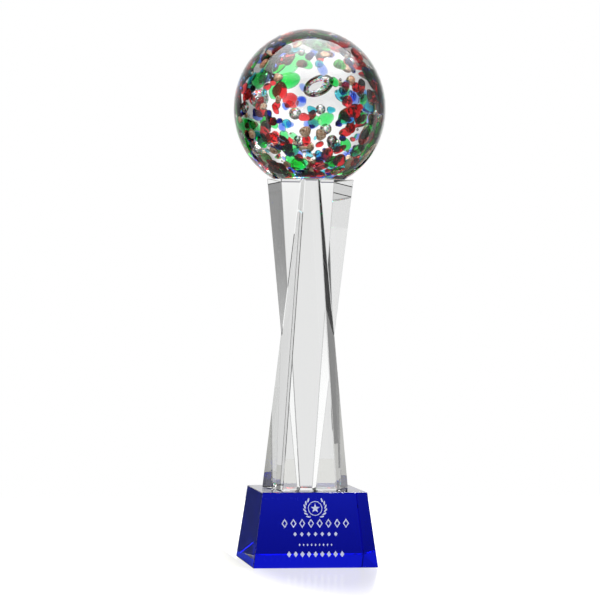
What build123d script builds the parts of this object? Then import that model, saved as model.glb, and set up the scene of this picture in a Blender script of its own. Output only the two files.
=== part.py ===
from build123d import *
import math
import os

# Column trophy: a blue crystal base, a clear crystal tower and an art-glass ball.
# The pieces are stacked along Z and bonded with thin clear films. The origin is the
# centre of the underside. The engraved face looks along -Y.

# Base: a square block whose four sides lean in.
base_foot_width = 81.6
base_head_width = 68.7
base_height = 48.2
base_edge_break = 0.4

# Ornament sandblasted into the front of the base: a star in a laurel above four bands.
# Heights are measured up the face from its middle.
etch_depth = 0.15
emblem_height = 14.0
star_tips = 5
star_outer_radius = 3.1
star_inner_radius = 1.3
ring_radius = 4.7
ring_line = 0.5
laurel_radius = 6.9
laurel_leaf_length = 3.0
laurel_leaf_width = 1.1
laurel_leaves_per_side = 6
laurel_half_gap = 30.0
laurel_leaf_tilt = 60.0

# Bands of lozenges: height, length, number of lozenges, their width and height.
bands = (
    (4.4, 44.0, 8, 4.0, 6.0),
    (-2.5, 29.0, 7, 2.4, 3.0),
    (-9.4, 22.0, 9, 1.2, 1.8),
    (-15.4, 37.5, 9, 2.9, 4.0),
)
hollow_band_height = 5.0
hollow_share = 0.6

# Bond films.
film_thickness = 0.2
film_setback = 0.4

# Tower: an upright wedge at the front and the same wedge, turned end for end, behind it.
# Reaches are measured from the axis: the wide end crosses it, the narrow end stays on its own side.
tower_height = 202.9
tower_turn = -4.0
wide_outer_half = 17.5
wide_inner_half = 28.5
wide_outer_reach = 22.0
wide_inner_reach = -10.0
narrow_outer_half = 4.1
narrow_outer_reach = 16.0
narrow_inner_reach = 8.0
tower_edge_break = 0.3

# Ball: a blown ball ground flat where it sits.
ball_radius = 50.0
ball_half_height = 52.5
ball_centre_z = 298.0
cavity_radius = 44.5
core_radius = 39.5

# Colour chips, rolled on to the core and sealed under the clear casing.
chip_count = 84
chip_clearance = 0.1
chip_thickness = 3.2
chip_long_half = 7.0
chip_short_half = 4.4
chip_rounding = 0.9
chip_size_swing = 0.2
chip_colours = ("red", "green", "blue", "red", "amber", "teal", "red", "navy")

# Air bubbles trapped in the core.
large_bubble_radius = 8.0
large_bubble_place = (2.0, -26.0, 9.0)
small_bubble_count = 14
small_bubble_radius = 1.6
small_bubble_shell = 33.0

golden_angle = math.pi * (3 - math.sqrt(5))
tower_foot_z = base_height + film_thickness
tower_head_z = tower_foot_z + tower_height
ball_seat_z = tower_head_z + film_thickness


# The side faces of a wedge are flat, so both ends flare at the same rate from the outer side inwards.
flare = (wide_inner_half - wide_outer_half) / (wide_outer_reach - wide_inner_reach)
narrow_inner_half = narrow_outer_half + flare * (narrow_outer_reach - narrow_inner_reach)


def wedge_outline(outer_half, inner_half, outer_reach, inner_reach, side):
    """A trapezium across the tower; side is 1 for the front wedge and -1 for the rear one."""
    outer = -side * outer_reach
    inner = -side * inner_reach
    return [(-outer_half, outer), (outer_half, outer), (inner_half, inner), (-inner_half, inner)]


def wide_end(side):
    return wedge_outline(wide_outer_half, wide_inner_half, wide_outer_reach, wide_inner_reach, side)


def narrow_end(side):
    return wedge_outline(
        narrow_outer_half, narrow_inner_half, narrow_outer_reach, narrow_inner_reach, side
    )


def tower_plane(height):
    """A level plane at that height, turned with the tower."""
    return Plane.XY.offset(height).rotated((0, 0, tower_turn))


def sphere_spot(index, count):
    """One of count points spread evenly over a unit sphere."""
    height = 1 - 2 * (index + 0.5) / count
    ring = math.sqrt(1 - height * height)
    turn = golden_angle * index
    return Vector(ring * math.cos(turn), ring * math.sin(turn), height)


def star_outline():
    """A star with one tip straight up."""
    points = []
    for corner in range(2 * star_tips):
        radius = star_inner_radius if corner % 2 else star_outer_radius
        angle = math.pi / 2 + math.pi * corner / star_tips
        points.append((radius * math.cos(angle), radius * math.sin(angle)))
    return points


def lozenge_outline(width, height):
    return [(width / 2, 0), (0, height / 2), (-width / 2, 0), (0, -height / 2)]


def laurel_leaf_places():
    """Where each leaf sits on the laurel's circle: the two sides run up from the bottom."""
    swept = 180 - 2 * laurel_half_gap
    places = []
    for hand in (-1, 1):
        for leaf in range(laurel_leaves_per_side):
            angle = 90 + hand * (laurel_half_gap + swept * (leaf + 0.5) / laurel_leaves_per_side)
            turn = math.radians(angle)
            spot = (laurel_radius * math.cos(turn), laurel_radius * math.sin(turn))
            places.append(Location(spot, angle - hand * laurel_leaf_tilt))
    return places


lean = math.atan((base_foot_width - base_head_width) / 2 / base_height)
front_face = Plane(
    origin=(0, -(base_foot_width + base_head_width) / 4, base_height / 2),
    x_dir=(1, 0, 0),
    z_dir=(0, -math.cos(lean), math.sin(lean)),
)

# Crystal base, with the ornament sunk into its front face.
with BuildPart() as crystal_base:
    with BuildSketch(Plane.XY):
        Rectangle(base_foot_width, base_foot_width)
    with BuildSketch(Plane.XY.offset(base_height)):
        Rectangle(base_head_width, base_head_width)
    loft(ruled=True)
    chamfer(crystal_base.edges(), length=base_edge_break)
    with BuildSketch(front_face):
        with Locations((0, emblem_height)):
            Circle(ring_radius)
            Circle(ring_radius - ring_line, mode=Mode.SUBTRACT)
            Polygon(*star_outline(), align=None)
            with Locations(*laurel_leaf_places()):
                Ellipse(laurel_leaf_length / 2, laurel_leaf_width / 2)
        for height, length, count, width, tall in bands:
            with Locations((0, height)):
                with GridLocations((length - width) / (count - 1), 0, count, 1):
                    Polygon(*lozenge_outline(width, tall))
                    if tall > hollow_band_height:
                        hollow = lozenge_outline(width * hollow_share, tall * hollow_share)
                        Polygon(*hollow, mode=Mode.SUBTRACT)
    extrude(amount=-etch_depth, mode=Mode.SUBTRACT)

# Clear film that bonds the tower to the base, a little smaller than the tower's foot.
with BuildPart() as tower_bond_film:
    with BuildSketch(tower_plane(base_height)):
        Polygon(*wide_end(1), align=None)
        Polygon(*narrow_end(-1), align=None)
        offset(amount=-film_setback)
    extrude(amount=film_thickness)

# Clear crystal tower: every long edge runs straight from foot to head.
with BuildPart() as crystal_tower:
    for side, foot, head in ((1, wide_end, narrow_end), (-1, narrow_end, wide_end)):
        with BuildSketch(tower_plane(tower_foot_z)):
            Polygon(*foot(side), align=None)
        with BuildSketch(tower_plane(tower_head_z)):
            Polygon(*head(side), align=None)
        loft(ruled=True)
    chamfer(crystal_tower.edges(), length=tower_edge_break)

# Clear film under the ball, kept inside both the tower's head and the ball's flat.
seat_drop = (ball_centre_z - ball_seat_z) / ball_half_height
seat_radius = ball_radius * math.sqrt(1 - seat_drop * seat_drop)
with BuildPart() as ball_bond_film:
    with BuildSketch(tower_plane(tower_head_z)):
        Polygon(*wide_end(-1), align=None)
        Polygon(*narrow_end(1), align=None)
        offset(amount=-film_setback)
        Circle(seat_radius - film_setback, mode=Mode.INTERSECT)
    extrude(amount=film_thickness)

# Clear casing: the outer gather of glass, ground flat at the seat.
with BuildPart() as ball_casing:
    with BuildSketch(Plane.XZ):
        with Locations((0, ball_centre_z)):
            Ellipse(ball_radius, ball_half_height)
            Circle(cavity_radius, mode=Mode.SUBTRACT)
        with Locations((0, ball_seat_z)):
            Rectangle(2 * ball_radius, ball_radius, align=(Align.CENTER, Align.MAX), mode=Mode.SUBTRACT)
        with Locations((0, ball_centre_z)):
            Rectangle(2 * ball_radius, 4 * ball_radius, align=(Align.MAX, Align.CENTER), mode=Mode.SUBTRACT)
    revolve(axis=Axis.Z)

# Clear core with its trapped air bubbles.
with BuildPart() as ball_core:
    with Locations((0, 0, ball_centre_z)):
        Sphere(core_radius)
        with Locations(large_bubble_place):
            Sphere(large_bubble_radius, mode=Mode.SUBTRACT)
        for bubble in range(small_bubble_count):
            spot = sphere_spot(bubble, small_bubble_count) * small_bubble_shell
            if (spot - Vector(*large_bubble_place)).length > large_bubble_radius + 2 * small_bubble_radius:
                with Locations(spot):
                    Sphere(small_bubble_radius, mode=Mode.SUBTRACT)


def chip_group(colour):
    """Every chip of one colour: rounded flat shards lying on the core."""
    with BuildPart() as chips:
        for index in range(chip_count):
            if chip_colours[index % len(chip_colours)] != colour:
                continue
            outward = sphere_spot(index, chip_count)
            seat = outward * (core_radius + chip_clearance) + Vector(0, 0, ball_centre_z)
            grain = Vector(math.cos(index), math.sin(index), math.sin(2 * index))
            along = grain.cross(outward)
            with BuildSketch(Plane(origin=seat, x_dir=along, z_dir=outward)):
                shrink = 1 - chip_size_swing * (1 - math.sin(3 * index))
                Ellipse(chip_long_half * shrink, chip_short_half * shrink)
            extrude(amount=chip_thickness)
        fillet(chips.edges().filter_by(GeomType.ELLIPSE), radius=chip_rounding)
    return chips.part


os.makedirs("parts", exist_ok=True)

crystal_base.part.label = "crystal_base"
export_step(crystal_base.part, "parts/crystal_base.step")

tower_bond_film.part.label = "tower_bond_film"
export_step(tower_bond_film.part, "parts/tower_bond_film.step")

crystal_tower.part.label = "crystal_tower"
export_step(crystal_tower.part, "parts/crystal_tower.step")

ball_bond_film.part.label = "ball_bond_film"
export_step(ball_bond_film.part, "parts/ball_bond_film.step")

ball_casing.part.label = "ball_casing"
export_step(ball_casing.part, "parts/ball_casing.step")

ball_core.part.label = "ball_core"
export_step(ball_core.part, "parts/ball_core.step")

for colour in sorted(set(chip_colours)):
    group = chip_group(colour)
    group.label = f"{colour}_chips"
    export_step(group, f"parts/{colour}_chips.step")
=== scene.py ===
import math
import random

import bmesh
import bpy
from mathutils import Matrix, Vector


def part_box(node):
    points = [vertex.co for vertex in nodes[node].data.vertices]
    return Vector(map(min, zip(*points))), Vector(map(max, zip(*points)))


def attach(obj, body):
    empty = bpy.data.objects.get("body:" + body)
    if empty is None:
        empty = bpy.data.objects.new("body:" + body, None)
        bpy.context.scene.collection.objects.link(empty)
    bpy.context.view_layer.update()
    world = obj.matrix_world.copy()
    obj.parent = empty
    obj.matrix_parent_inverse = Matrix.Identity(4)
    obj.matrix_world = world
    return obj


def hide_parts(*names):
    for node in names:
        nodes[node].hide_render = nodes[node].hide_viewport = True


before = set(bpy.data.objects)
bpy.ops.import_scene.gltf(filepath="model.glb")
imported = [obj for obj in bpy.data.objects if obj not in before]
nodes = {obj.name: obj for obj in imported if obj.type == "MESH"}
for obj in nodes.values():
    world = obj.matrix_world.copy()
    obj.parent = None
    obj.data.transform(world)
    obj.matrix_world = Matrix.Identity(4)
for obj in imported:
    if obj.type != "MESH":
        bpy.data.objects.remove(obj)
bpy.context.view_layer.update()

# Column trophy: clear crystal tower on a blue crystal base, with an art-glass ball on top.
# Everything is in metres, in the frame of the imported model.

MM = 0.001
scene = bpy.context.scene

# Camera, level with the middle of the award and a little left of the front.
CAMERA_TURN = math.radians(-9.06)
CAMERA_DISTANCE = 1.724
CAMERA_HEIGHT = 0.1722
CAMERA_SIDE = -0.0053
CAMERA_LENS = 157.2
CAMERA_SENSOR = 36.0
CAMERA_ROLL = math.radians(0.5)

GLASS_IOR = 1.52
BODY = "root"
LIGHT_BOUNCES = 24


# ---------------------------------------------------------------- node helpers

def new_material(name):
    """A material with an empty node tree and its output node."""
    material = bpy.data.materials.new(name)
    material.use_nodes = True
    tree = material.node_tree
    tree.nodes.clear()
    output = tree.nodes.new("ShaderNodeOutputMaterial")
    return material, tree, output


def add_node(tree, kind, **settings):
    node = tree.nodes.new(kind)
    for name, value in settings.items():
        setattr(node, name, value)
    return node


def object_coordinates(tree):
    return add_node(tree, "ShaderNodeTexCoord").outputs["Object"]


def noise_factor(tree, scale, detail=3.0):
    """A soft noise over the object, 0 to 1."""
    texture = add_node(tree, "ShaderNodeTexNoise")
    texture.inputs["Scale"].default_value = scale
    texture.inputs["Detail"].default_value = detail
    tree.links.new(object_coordinates(tree), texture.inputs["Vector"])
    return texture.outputs["Fac"]


def ramp(tree, factor, stops):
    """A colour ramp; stops are (position, colour)."""
    node = add_node(tree, "ShaderNodeValToRGB")
    elements = node.color_ramp.elements
    while len(elements) < len(stops):
        elements.new(0.5)
    for element, (position, colour) in zip(elements, stops):
        element.position = position
        element.color = (*colour, 1.0)
    tree.links.new(factor, node.inputs["Fac"])
    return node.outputs["Color"]


def map_range(tree, value, low=0.0, high=1.0, start=0.0, end=1.0, smooth=False):
    """From low, where the value is start, to high, where it is end."""
    kind = "SMOOTHSTEP" if smooth else "LINEAR"
    node = add_node(tree, "ShaderNodeMapRange", interpolation_type=kind)
    for name, number in (("From Min", start), ("From Max", end), ("To Min", low), ("To Max", high)):
        node.inputs[name].default_value = number
    tree.links.new(value, node.inputs["Value"])
    return node.outputs["Result"]


def distance_from_middle(tree, stretch=(1.0, 1.0, 1.0)):
    """How far a point is from the object's origin, with each axis stretched first."""
    stretched = add_node(tree, "ShaderNodeVectorMath", operation="MULTIPLY")
    stretched.inputs[1].default_value = stretch
    tree.links.new(object_coordinates(tree), stretched.inputs[0])
    distance = add_node(tree, "ShaderNodeVectorMath", operation="LENGTH")
    tree.links.new(stretched.outputs["Vector"], distance.inputs[0])
    return distance.outputs["Value"]


def camera_ray(tree):
    """1 for what the camera sees directly, otherwise 0."""
    return add_node(tree, "ShaderNodeLightPath").outputs["Is Camera Ray"]


def bump(tree, height, strength, distance):
    node = add_node(tree, "ShaderNodeBump")
    node.inputs["Strength"].default_value = strength
    node.inputs["Distance"].default_value = distance
    tree.links.new(height, node.inputs["Height"])
    return node.outputs["Normal"]


def principled(tree, output, **values):
    """A Principled shader wired to the output, with constants set on its own sockets."""
    shader = add_node(tree, "ShaderNodeBsdfPrincipled")
    for name, value in values.items():
        socket = shader.inputs[name.replace("_", " ")]
        socket.default_value = (*value, 1.0) if isinstance(value, tuple) else value
    tree.links.new(shader.outputs["BSDF"], output.inputs["Surface"])
    return shader


def body_colour(tree, output, colour, density):
    """Colour in the body of the glass: deeper where the glass is thicker."""
    body = add_node(tree, "ShaderNodeVolumeAbsorption")
    body.inputs["Color"].default_value = (*colour, 1.0)
    body.inputs["Density"].default_value = density
    tree.links.new(body.outputs["Volume"], output.inputs["Volume"])


# ---------------------------------------------------------------- materials

def polished_crystal(name, tint, wear=0.012):
    """Clear cut crystal: faint handling haze that changes over the surface."""
    material, tree, output = new_material(name)
    shader = principled(tree, output, Transmission_Weight=1.0, IOR=GLASS_IOR)
    haze = noise_factor(tree, scale=38.0, detail=5.0)
    lighter = tuple(min(1.0, channel * 1.01) for channel in tint)
    tree.links.new(ramp(tree, haze, [(0.3, tint), (0.7, lighter)]), shader.inputs["Base Color"])
    tree.links.new(map_range(tree, haze, low=0.0, high=wear), shader.inputs["Roughness"])
    return material


def blue_crystal():
    """Cobalt crystal: the colour is in the body of the glass, so thick parts are deeper."""
    material, tree, output = new_material("blue_crystal_glass")
    shader = principled(tree, output, Transmission_Weight=1.0, IOR=GLASS_IOR)
    haze = noise_factor(tree, scale=30.0, detail=5.0)
    tint = ramp(tree, haze, [(0.3, (0.96, 0.97, 1.0)), (0.7, (0.98, 0.985, 1.0))])
    tree.links.new(tint, shader.inputs["Base Color"])
    tree.links.new(map_range(tree, haze, low=0.0, high=0.01), shader.inputs["Roughness"])
    body_colour(tree, output, colour=(0.0, 0.14, 0.91), density=68.0)
    return material


def frosted_etch():
    """Sandblasted glass: a pale grainy surface."""
    material, tree, output = new_material("frosted_etch")
    shader = principled(tree, output, Roughness=0.65, Transmission_Weight=0.15, IOR=1.3)
    grain = noise_factor(tree, scale=2600.0, detail=2.0)
    tree.links.new(
        ramp(tree, grain, [(0.3, (0.50, 0.54, 0.76)), (0.75, (0.74, 0.77, 0.90))]),
        shader.inputs["Base Color"],
    )
    tree.links.new(bump(tree, grain, strength=0.5, distance=0.05 * MM), shader.inputs["Normal"])
    return material


def chip_glass(name, dark, light, body, density, ior):
    """Coloured glass: its skin is streaked between two tones and its body adds depth."""
    material, tree, output = new_material(name)
    shader = principled(tree, output, Transmission_Weight=1.0, IOR=ior)
    streaks = noise_factor(tree, scale=140.0, detail=4.0)
    tree.links.new(ramp(tree, streaks, [(0.32, dark), (0.68, light)]), shader.inputs["Base Color"])
    tree.links.new(map_range(tree, streaks, low=0.0, high=0.08), shader.inputs["Roughness"])
    body_colour(tree, output, body, density)
    return material


def aventurine():
    """Brown glass full of copper flecks."""
    material, tree, output = new_material("aventurine_glass")
    shader = principled(tree, output, Transmission_Weight=0.2, IOR=1.3, Metallic=0.2)
    cells = add_node(tree, "ShaderNodeTexVoronoi")
    cells.inputs["Scale"].default_value = 1500.0
    tree.links.new(object_coordinates(tree), cells.inputs["Vector"])
    separate = add_node(tree, "ShaderNodeSeparateColor")
    tree.links.new(cells.outputs["Color"], separate.inputs["Color"])
    flecks = separate.outputs["Red"]
    stops = [(0.0, (0.22, 0.10, 0.045)), (0.35, (0.55, 0.30, 0.16)),
             (0.7, (0.90, 0.60, 0.38)), (0.95, (1.0, 0.88, 0.66))]
    tree.links.new(ramp(tree, flecks, stops), shader.inputs["Base Color"])
    tree.links.new(map_range(tree, flecks, low=0.45, high=0.18), shader.inputs["Roughness"])
    tree.links.new(bump(tree, flecks, strength=0.35, distance=0.05 * MM), shader.inputs["Normal"])
    return material


def floor_paper_with_painted_shade():
    """Paper with a faint sheen, made white by a painted glow, which glows less close round the base: a
    painted shadow.

    One glow lights the object, with that painted shadow round the base. The other, brighter one is what the
    eye sees, and it grows to full white within a short way: painted shade near the base, which lets the
    reflection of the base die out.
    """
    material, tree, output = new_material("floor_paper_with_painted_shade")
    shader = principled(tree, output, Roughness=0.2, Specular_IOR_Level=0.35)
    # Painted glow: the floor's white is emission over a dark paper.
    shader.inputs["Emission Color"].default_value = (1.0, 0.995, 0.93, 1.0)
    # Painted shadow: the glow that lights the object is weaker close round the base.
    painted_shadow_glow = map_range(
        tree, distance_from_middle(tree), low=0.08, high=0.34, start=0.05, end=0.42, smooth=True
    )
    # Painted shade: the glow the eye sees is weaker near the base and grows to full white a short way out.
    around = distance_from_middle(tree, stretch=(2.5, 0.6, 0.0))
    white = map_range(tree, around, low=0.65, high=1.25, start=0.07, end=0.18, smooth=True)
    painted_glow = add_node(tree, "ShaderNodeMix", data_type="FLOAT")
    tree.links.new(camera_ray(tree), painted_glow.inputs["Factor"])
    tree.links.new(painted_shadow_glow, painted_glow.inputs["A"])
    tree.links.new(white, painted_glow.inputs["B"])
    tree.links.new(painted_glow.outputs["Result"], shader.inputs["Emission Strength"])
    fibre = noise_factor(tree, scale=60.0, detail=3.0)
    tree.links.new(
        ramp(tree, fibre, [(0.0, (0.05, 0.05, 0.05)), (1.0, (0.06, 0.06, 0.06))]),
        shader.inputs["Base Color"],
    )
    return material


def painted_reflection_paper(name, tone):
    """Matt card in one tone, with a little fibre, for the cards that paint reflections and shade into the
    glass.
    """
    material, tree, output = new_material(name)
    shader = principled(tree, output, Roughness=0.9, Specular_IOR_Level=0.1)
    fibre = noise_factor(tree, scale=80.0, detail=2.0)
    lighter = tuple(min(1.0, channel * 1.2) for channel in tone)
    tree.links.new(ramp(tree, fibre, [(0.0, tone), (1.0, lighter)]), shader.inputs["Base Color"])
    return material


# ---------------------------------------------------------------- mesh helpers

def piece_from_bmesh(bm, name, material, replaced=(), smooth=True):
    """Makes an object from bm, gives it its material and ties it to the frame."""
    mesh = bpy.data.meshes.new(name)
    bm.to_mesh(mesh)
    bm.free()
    mesh.materials.append(material)
    mesh.polygons.foreach_set("use_smooth", [smooth] * len(mesh.polygons))
    piece = bpy.data.objects.new(name, mesh)
    scene.collection.objects.link(piece)
    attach(piece, BODY)
    if replaced:
        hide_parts(*replaced)
    return piece


def set_material(node_name, material):
    materials = nodes[node_name].data.materials
    materials.clear()
    materials.append(material)


def tangent_frame(outward, spin):
    """A rotation whose Z is outward, turned by spin about it."""
    return outward.to_track_quat("Z", "Y").to_matrix().to_4x4() @ Matrix.Rotation(spin, 4, "Z")


# ---------------------------------------------------------------- base

# The engraved recess, and the frosted skin that floats just above its floor.
RECESS_DEPTH = 0.15 * MM
SKIN_LIFT = 0.06 * MM
SKIN_THICKNESS = 0.04 * MM


def etched_inlay():
    """A frosted skin with the outline of the recess's floor, taken from the base's own mesh."""
    tolerance = 0.02 * MM
    base = nodes["crystal_base"].data
    facing_front = (face for face in base.polygons if face.normal.y < -0.9)
    front = max(facing_front, key=lambda face: face.area)
    outward = front.normal.copy()
    recess = front.center.dot(outward) - RECESS_DEPTH
    bm = bmesh.new()
    made = {}
    for face in base.polygons:
        spots = [base.vertices[index].co for index in face.vertices]
        if any(abs(spot.dot(outward) - recess) > tolerance for spot in spots):
            continue
        corners = []
        for spot in spots:
            key = tuple(round(value, 7) for value in spot)
            if key not in made:
                made[key] = bm.verts.new(spot + outward * SKIN_LIFT)
            corners.append(made[key])
        if len(set(corners)) == len(corners) and bm.faces.get(corners) is None:
            bm.faces.new(corners)
    shell = bmesh.ops.extrude_face_region(bm, geom=list(bm.faces))
    raised = [item for item in shell["geom"] if isinstance(item, bmesh.types.BMVert)]
    bmesh.ops.translate(bm, verts=raised, vec=outward * SKIN_THICKNESS)
    bmesh.ops.recalc_face_normals(bm, faces=bm.faces)
    piece_from_bmesh(bm, "etched_ornament", frosted_etch(), smooth=False)


# ---------------------------------------------------------------- bond films

# How much of a film's thickness its skin keeps.
FILM_KEPT_SHARE = 0.4


def bond_film(node_name, material):
    """The film as a thinner skin between its two pieces, so that each keeps its own polished face."""
    low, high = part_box(node_name)
    middle = (low.z + high.z) / 2
    bm = bmesh.new()
    bm.from_mesh(nodes[node_name].data)
    bmesh.ops.remove_doubles(bm, verts=bm.verts, dist=1e-6)
    for vertex in bm.verts:
        vertex.co.z = middle + (vertex.co.z - middle) * FILM_KEPT_SHARE
    name = node_name.replace("_film", "_skin")
    piece_from_bmesh(bm, name, material, (node_name,), smooth=False)


# ---------------------------------------------------------------- ball

ball_low, ball_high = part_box("ball_casing")
BALL_RADIUS = (ball_high.x - ball_low.x) / 2
BALL_CENTRE = sum(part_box("ball_core"), Vector()) / 2
BALL_HALF_HEIGHT = ball_high.z - BALL_CENTRE.z
SEAT_DROP = BALL_CENTRE.z - ball_low.z

ART_SEED = 23

# How finely the ball's surface is divided, from top to flat and round its axis.
BALL_RINGS = 96
BALL_TURNS = 160

# The one large bubble: its place from the ball's middle, its half sizes and its tilt. Chips and other
# bubbles keep a clear distance from its middle, and keep out of the view through it, which widens with depth.
LARGE_BUBBLE_PLACE = Vector((0.0, -30.0, 11.0)) * MM
LARGE_BUBBLE_SIZES = (9.2 * MM, 4.6 * MM, 5.8 * MM)
LARGE_BUBBLE_TILT = math.radians(-27)
LARGE_BUBBLE_CLEAR = 9.5 * MM
LARGE_BUBBLE_VIEW_SPREAD = 0.12

# Small bubbles: (usual radius, number), how much their sizes vary, how far out they lie as shares of the
# ball's radius, the gap between two of them and their least height over the ball's flat.
SMALL_BUBBLES = ((3.5 * MM, 15), (2.2 * MM, 12), (0.8 * MM, 22))
SMALL_BUBBLE_SIZE_SWING = (0.8, 1.2)
SMALL_BUBBLE_SHELL = (0.45, 0.88)
SMALL_BUBBLE_GAP = 3 * MM
SMALL_BUBBLE_LOWEST = 5 * MM


def add_bubble(bm, centre, sizes, tilt=0.0, detail=4, finish=0):
    """A cavity: a closed egg whose faces look into the air inside it; finish is its material's place."""
    shape = Matrix.Translation(centre) @ Matrix.Rotation(tilt, 4, "Y") @ Matrix.Diagonal((*sizes, 1.0))
    made = bmesh.ops.create_icosphere(bm, subdivisions=detail, radius=1.0, matrix=shape)
    faces = {face for vertex in made["verts"] for face in vertex.link_faces}
    bmesh.ops.reverse_faces(bm, faces=list(faces))
    for face in faces:
        face.material_index = finish


def behind_large_bubble(place, size):
    """Whether something of that size would be seen through the large bubble from the front."""
    offset = place - LARGE_BUBBLE_PLACE
    clear = LARGE_BUBBLE_CLEAR + LARGE_BUBBLE_VIEW_SPREAD * offset.y
    return offset.y > 0 and math.hypot(offset.x, offset.z) < clear + size / 2


def random_direction(rng):
    return Vector((rng.gauss(0, 1), rng.gauss(0, 1), rng.gauss(0, 1))).normalized()


def small_bubbles(rng):
    """Small bubbles: (centre from the ball's middle, radius)."""
    places = []
    for radius, count in SMALL_BUBBLES:
        made = 0
        while made < count:
            centre = random_direction(rng) * rng.uniform(*SMALL_BUBBLE_SHELL) * BALL_RADIUS
            size = radius * rng.uniform(*SMALL_BUBBLE_SIZE_SWING)
            reach = size + SMALL_BUBBLE_GAP
            apart = all((centre - other).length > reach + taken for other, taken in places)
            clear = (centre - LARGE_BUBBLE_PLACE).length > LARGE_BUBBLE_CLEAR + size
            clear = clear and not behind_large_bubble(centre, size)
            if apart and clear and centre.z > SMALL_BUBBLE_LOWEST - SEAT_DROP:
                places.append((centre, size))
                made += 1
    return places


def glass_ball(bubbles):
    """The clear ball as one solid with its bubbles as cavities."""
    flat_angle = math.asin(SEAT_DROP / BALL_HALF_HEIGHT)
    bm = bmesh.new()
    top = bm.verts.new(BALL_CENTRE + Vector((0, 0, BALL_HALF_HEIGHT)))
    previous = None
    for ring in range(1, BALL_RINGS + 1):
        angle = math.pi / 2 - (math.pi / 2 + flat_angle) * ring / BALL_RINGS
        radius = BALL_RADIUS * math.cos(angle)
        height = BALL_CENTRE.z + BALL_HALF_HEIGHT * math.sin(angle)
        loop = [
            bm.verts.new((radius * math.cos(turn), radius * math.sin(turn), height))
            for turn in (2 * math.pi * step / BALL_TURNS for step in range(BALL_TURNS))
        ]
        for step in range(BALL_TURNS):
            following = (step + 1) % BALL_TURNS
            if previous is None:
                bm.faces.new((top, loop[step], loop[following]))
            else:
                bm.faces.new((previous[step], loop[step], loop[following], previous[following]))
        previous = loop
    seat = bm.faces.new(previous[::-1])
    for edge in seat.edges:
        edge.smooth = False
    add_bubble(bm, BALL_CENTRE + LARGE_BUBBLE_PLACE, LARGE_BUBBLE_SIZES, LARGE_BUBBLE_TILT, finish=1)
    for centre, radius in bubbles:
        add_bubble(bm, BALL_CENTRE + centre, (radius,) * 3, detail=3)
    tint = (0.99, 0.992, 0.995)
    skin = polished_crystal("ball_glass", tint, wear=0.003)
    ball = piece_from_bmesh(bm, "glass_ball", skin, ("ball_casing", "ball_core"))
    ball.data.materials.append(polished_crystal("bubble_wall", tint, wear=0.05))


# Colour, share of all chips, smallest and largest long half, thinnest and thickest, in millimetres.
CHIP_KINDS = (
    ("red", 0.32, 2.8, 5.6, 2.0, 3.8),
    ("green", 0.20, 3.0, 7.2, 1.8, 3.4),
    ("blue", 0.14, 2.4, 5.0, 1.4, 2.8),
    ("teal", 0.13, 2.4, 5.0, 1.6, 3.2),
    ("navy", 0.11, 1.8, 3.2, 2.0, 3.6),
    ("amber", 0.10, 2.4, 4.2, 1.8, 3.2),
)
CHIP_COUNT = 540
CHIP_WIDTH_SHARE = (0.6, 0.98)
CHIP_LEAN = 0.22
CHIP_ROUNDNESS = 0.8

# An uneven outline: bulges round it, and how far the largest stands out as a share of its size.
CHIP_BULGES = ((2, 0.10), (3, 0.10), (5, 0.03))

# Crumbs are half-size chips that crowd the bottom of the ball: their direction is pulled downwards.
CRUMB_COUNT = 150
CRUMB_SCALE = 0.5
CRUMB_SINK = 0.5

# How far out chips lie as shares of the ball's radius, how near two middles may come as a share of the
# chips' sizes, and how far chips stay above the ball's flat.
CHIP_SHELL = (0.60, 0.925)
CHIP_CROWDING = 0.45
CHIP_LOWEST = 1 * MM

# The front and back of the ball, from that share of its depth outwards, are a little barer: a share of
# the chips there is left out.
BARE_FROM = 0.7
BARE_SHARE = 0.3


def random_lean(rng):
    return Vector((rng.gauss(0, CHIP_LEAN), rng.gauss(0, CHIP_LEAN), rng.gauss(0, CHIP_LEAN)))


def add_chip(bm, rng, centre, facing, long_half, short_half, thickness):
    """One rounded glass chip: a flattened pebble with an uneven outline, curved round the core."""
    made = bmesh.ops.create_icosphere(bm, subdivisions=3, radius=1.0)
    bulges = [(count, rng.uniform(0, largest)) for count, largest in CHIP_BULGES]
    phases = [rng.uniform(0, 2 * math.pi) for _ in bulges]
    place = Matrix.Translation(BALL_CENTRE + centre) @ tangent_frame(facing, rng.uniform(0, 2 * math.pi))
    bend = 2 * centre.length
    for vertex in made["verts"]:
        x, y, z = vertex.co
        around = math.atan2(y, x)
        swell = 1 + sum(
            size * math.cos(count * around + phase) for (count, size), phase in zip(bulges, phases)
        )
        flat = math.copysign(abs(z) ** CHIP_ROUNDNESS, z)
        local = Vector((x * long_half * swell, y * short_half * swell, flat * thickness / 2))
        local.z -= (local.x ** 2 + local.y ** 2) / bend
        vertex.co = place @ local


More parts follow.
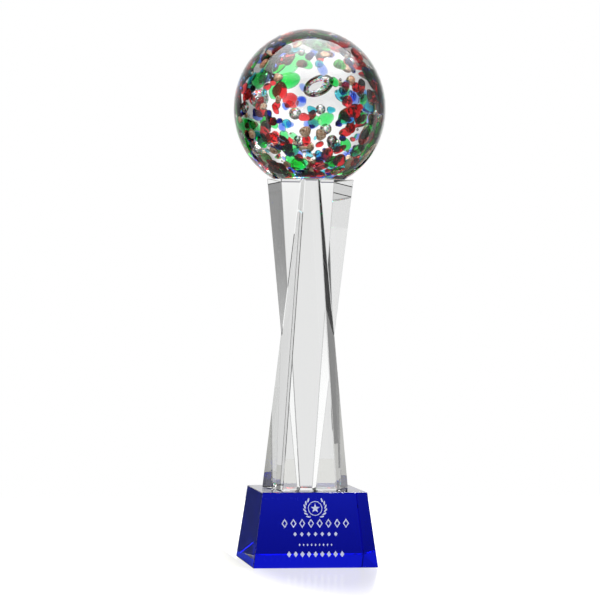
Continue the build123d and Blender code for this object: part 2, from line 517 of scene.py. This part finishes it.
def coloured_chips(rng, bubbles):
    """Every chip, in one mesh for each colour; small crumbs crowd the bottom of the ball."""
    meshes = {kind[0]: bmesh.new() for kind in CHIP_KINDS}
    shares = [kind[1] for kind in CHIP_KINDS]
    hollows = [(LARGE_BUBBLE_PLACE, LARGE_BUBBLE_CLEAR)] + bubbles
    taken = []
    while len(taken) < CHIP_COUNT + CRUMB_COUNT:
        crumb = len(taken) >= CHIP_COUNT
        colour, _, smallest, largest, thinnest, thickest = rng.choices(CHIP_KINDS, weights=shares)[0]
        outward = random_direction(rng)
        if crumb:
            outward.z = -abs(outward.z) - CRUMB_SINK
            outward.normalize()
        scale = MM * (CRUMB_SCALE if crumb else 1.0)
        centre = outward * rng.uniform(*CHIP_SHELL) * BALL_RADIUS
        long_half = rng.uniform(smallest, largest) * scale
        short_half = long_half * rng.uniform(*CHIP_WIDTH_SHARE)
        thickness = rng.uniform(thinnest, thickest) * scale
        thinned = abs(outward.y) > BARE_FROM and rng.random() < BARE_SHARE
        crowded = any(
            (centre - other).length < CHIP_CROWDING * (long_half + size) for other, size in taken
        )
        hollow = any((centre - other).length < long_half + size for other, size in hollows)
        low = centre.z < long_half + CHIP_LOWEST - SEAT_DROP
        if thinned or crowded or hollow or low or behind_large_bubble(centre, long_half):
            continue
        facing = (outward + random_lean(rng)).normalized()
        add_chip(meshes[colour], rng, centre, facing, long_half, short_half, thickness)
        taken.append((centre, long_half))
    return meshes


def chip_materials():
    """Each colour: the two tones of its skin, its body colour, the body's density and its IOR."""
    glasses = {
        "red": ((0.86, 0.22, 0.24), (0.96, 0.36, 0.36), (0.93, 0.12, 0.18), 800.0, 1.10),
        "green": ((0.62, 0.93, 0.66), (0.86, 1.0, 0.80), (0.08, 0.92, 0.45), 900.0, 1.07),
        "blue": ((0.72, 0.80, 0.98), (0.90, 0.94, 1.0), (0.25, 0.45, 0.96), 800.0, 1.05),
        "teal": ((0.60, 0.90, 0.92), (0.80, 0.96, 0.98), (0.04, 0.80, 0.87), 1000.0, 1.07),
        "navy": ((0.50, 0.55, 0.84), (0.66, 0.70, 0.93), (0.08, 0.14, 0.70), 1900.0, 1.10),
    }
    materials = {}
    for colour, recipe in glasses.items():
        materials[colour] = chip_glass(f"{colour}_chip_glass", *recipe)
    materials["amber"] = aventurine()
    return materials


def art_glass():
    """The ball, its bubbles and its chips."""
    rng = random.Random(ART_SEED)
    bubbles = small_bubbles(rng)
    glass_ball(bubbles)
    materials = chip_materials()
    for colour, bm in coloured_chips(rng, bubbles).items():
        replaced = (f"{colour}_chips",)
        piece_from_bmesh(bm, f"{colour}_shards", materials[colour], replaced)


# ---------------------------------------------------------------- setting

# Brightness of the studio's walls round the compass: (degrees from +Y towards +X, brightness).
# At eye level there are light panels at the back, the back right, both sides and the front left, with grey
# and black flags between them. The brightest is a narrow strip at the left panel's front edge.
WALL_PEAK = 2.0
EYE_LEVEL = (
    (-180, 0.45), (-170, 0.6), (-160, 1.1), (-145, 1.1), (-125, 0.3), (-104, 0.3),
    (-102, 1.6), (-99, 1.6), (-97, 0.9), (-84, 0.9), (-79, 0.2), (-76, 0.01),
    (-42, 0.01), (-38, 0.25), (-30, 0.4), (-20, 0.68), (-8, 0.84), (0, 0.86),
    (14, 0.86), (22, 1.15), (32, 1.1), (42, 0.35), (59, 0.42), (64, 1.1),
    (72, 1.1), (75, 0.35), (79, 0.3), (84, 0.9), (96, 0.9), (104, 0.28), (180, 0.45),
)
UPPER_WALLS = (
    (-180, 0.04), (-160, 0.04), (-140, 0.25), (-104, 0.35), (-97, 0.8), (-83, 0.8),
    (-76, 0.3), (-70, 0.05), (-50, 0.05), (-42, 0.3), (-14, 0.9), (0, 1.1),
    (30, 1.1), (42, 0.4), (56, 0.25), (66, 0.32), (77, 0.36), (84, 0.8),
    (96, 0.8), (104, 0.35), (140, 0.25), (160, 0.06), (180, 0.04),
)

# How steeply a ray rises where the eye-level walls give way to the upper ones.
UPPER_WALLS_FROM = 0.05
UPPER_WALLS_FULL = 0.16

FLOOR_HALF_WIDTH = 0.55
FLOOR_GAP = 0.3 * MM

# Tones of the hidden cards: painted reflections and painted shade that only the glass and the floor's sheen
# show.
PAINTED_REFLECTION_TONES = {
    "black_painted_reflection": (0.01, 0.01, 0.01),
    "navy_painted_shade": (0.05, 0.065, 0.34),
    "blue_painted_shade": (0.01, 0.025, 0.36),
}

# Upright cards of painted reflection and painted shade, hidden from the camera, from diffuse light and from
# shadows: name, left edge, right edge, distance behind the award's middle, height and finish.
PAINTED_REFLECTION_CARDS = (
    ("near_painted_shade_card", -0.072, -0.043, 0.10, 0.05, "navy_painted_shade"),
    ("left_painted_reflection_card", -0.42, -0.24, 0.50, 0.13, "black_painted_reflection"),
    ("right_painted_reflection_card", 0.185, 0.285, 0.37, 0.235, "black_painted_reflection"),
)

# A sheet of painted shade that lies along the base's left side, standing in for the dim floor under the base
# that the glass shows: its edges on the floor.
PAINTED_SHADE_SHEET_LEFT = -0.055
PAINTED_SHADE_SHEET_RIGHT = -0.0425
PAINTED_SHADE_SHEET_FRONT = -0.03
PAINTED_SHADE_SHEET_BACK = 0.10

# The softbox overhead, a little in front of the award.
SOFTBOX_WIDTH = 2.6
SOFTBOX_DEPTH = 1.7
SOFTBOX_PLACE = (0.0, -0.42, 1.35)
SOFTBOX_ENERGY = 48.0
SOFTBOX_SPREAD = math.radians(115)


def wall_ramp(tree, turn, stops):
    """The walls' brightness as a share of the brightest; turn is 0 to 1 round the compass."""
    return ramp(tree, turn, [((angle + 180) / 360, (level / WALL_PEAK,) * 3) for angle, level in stops])


def surround():
    """The studio's walls; the backdrop itself is plain white to the eye."""
    world = bpy.data.worlds.new("studio")
    scene.world = world
    world.use_nodes = True
    tree = world.node_tree
    tree.nodes.clear()
    output = add_node(tree, "ShaderNodeOutputWorld")
    parts = add_node(tree, "ShaderNodeSeparateXYZ")
    tree.links.new(add_node(tree, "ShaderNodeTexCoord").outputs["Generated"], parts.inputs[0])
    angle = add_node(tree, "ShaderNodeMath", operation="ARCTAN2")
    tree.links.new(parts.outputs["X"], angle.inputs[0])
    tree.links.new(parts.outputs["Y"], angle.inputs[1])
    turn = map_range(tree, angle.outputs[0], start=-math.pi, end=math.pi)
    rise = map_range(
        tree, parts.outputs["Z"], start=UPPER_WALLS_FROM, end=UPPER_WALLS_FULL, smooth=True
    )
    walls = add_node(tree, "ShaderNodeMix", data_type="RGBA")
    tree.links.new(rise, walls.inputs["Factor"])
    tree.links.new(wall_ramp(tree, turn, EYE_LEVEL), walls.inputs["A"])
    tree.links.new(wall_ramp(tree, turn, UPPER_WALLS), walls.inputs["B"])
    soft = add_node(tree, "ShaderNodeBackground")
    tree.links.new(walls.outputs["Result"], soft.inputs["Color"])
    soft.inputs["Strength"].default_value = WALL_PEAK
    white = add_node(tree, "ShaderNodeBackground")
    white.inputs["Color"].default_value = (1.0, 1.0, 1.0, 1.0)
    mix = add_node(tree, "ShaderNodeMixShader")
    tree.links.new(camera_ray(tree), mix.inputs["Fac"])
    tree.links.new(soft.outputs[0], mix.inputs[1])
    tree.links.new(white.outputs[0], mix.inputs[2])
    tree.links.new(mix.outputs[0], output.inputs["Surface"])


def stage_panel(name, corners, material):
    """A flat four-cornered sheet that belongs to the studio."""
    mesh = bpy.data.meshes.new(name)
    mesh.from_pydata(corners, [], [(0, 1, 2, 3)])
    mesh.materials.append(material)
    panel = bpy.data.objects.new(name, mesh)
    scene.collection.objects.link(panel)
    return panel


def painted_reflection_only(panel):
    """Hides the panel from the camera, from diffuse light and from shadows, so that it is only a painted
    reflection that the glass and the floor's sheen pick up.
    """
    panel.visible_camera = False
    panel.visible_diffuse = False
    panel.visible_shadow = False


def floor():
    half = FLOOR_HALF_WIDTH
    corners = [(x * half, y * half, -FLOOR_GAP) for x, y in ((-1, -1), (1, -1), (1, 1), (-1, 1))]
    stage_panel("floor", corners, floor_paper_with_painted_shade())


def painted_reflection_cards():
    """Three upright cards of painted reflection and painted shade low at the back, and one sheet of painted
    shade along the base's left side.
    """
    finishes = {name: painted_reflection_paper(name, tone) for name, tone in PAINTED_REFLECTION_TONES.items()}
    # Painted reflection and shade: each card is seen only in the glass and the floor's sheen.
    for name, left, right, back, top, finish in PAINTED_REFLECTION_CARDS:
        corners = [(left, back, 0.0), (right, back, 0.0), (right, back, top), (left, back, top)]
        painted_reflection_only(stage_panel(name, corners, finishes[finish]))
    # Painted shade: a blue sheet seen only through the base and in the floor's sheen.
    sheet = [
        (PAINTED_SHADE_SHEET_LEFT, PAINTED_SHADE_SHEET_FRONT, 0.0), (PAINTED_SHADE_SHEET_RIGHT, PAINTED_SHADE_SHEET_FRONT, 0.0),
        (PAINTED_SHADE_SHEET_RIGHT, PAINTED_SHADE_SHEET_BACK, 0.0), (PAINTED_SHADE_SHEET_LEFT, PAINTED_SHADE_SHEET_BACK, 0.0),
    ]
    painted_reflection_only(stage_panel("painted_shade_sheet", sheet, finishes["blue_painted_shade"]))


def softbox():
    lamp = bpy.data.lights.new("overhead", "AREA")
    lamp.shape = "RECTANGLE"
    lamp.size = SOFTBOX_WIDTH
    lamp.size_y = SOFTBOX_DEPTH
    lamp.energy = SOFTBOX_ENERGY
    lamp.spread = SOFTBOX_SPREAD
    overhead = bpy.data.objects.new("overhead", lamp)
    overhead.location = SOFTBOX_PLACE
    scene.collection.objects.link(overhead)


def camera():
    lens = bpy.data.cameras.new("camera")
    lens.lens = CAMERA_LENS
    lens.sensor_width = CAMERA_SENSOR
    eye = bpy.data.objects.new("camera", lens)
    turn = Matrix.Rotation(CAMERA_TURN, 4, "Z")
    eye.location = turn @ Vector((CAMERA_SIDE, -CAMERA_DISTANCE, CAMERA_HEIGHT))
    look = turn @ Matrix.Rotation(math.radians(90), 4, "X") @ Matrix.Rotation(CAMERA_ROLL, 4, "Z")
    eye.rotation_euler = look.to_euler()
    scene.collection.objects.link(eye)
    scene.camera = eye


camera()
floor()
painted_reflection_cards()
softbox()
surround()
set_material("crystal_base", blue_crystal())
set_material("crystal_tower", polished_crystal("tower_crystal", (0.94, 0.945, 0.942)))
etched_inlay()
adhesive = polished_crystal("cured_adhesive", (0.95, 0.96, 0.97), wear=0.03)
bond_film("tower_bond_film", adhesive)
bond_film("ball_bond_film", adhesive)
art_glass()

scene.view_settings.view_transform = "Standard"
scene.cycles.max_bounces = LIGHT_BOUNCES
scene.cycles.transmission_bounces = LIGHT_BOUNCES
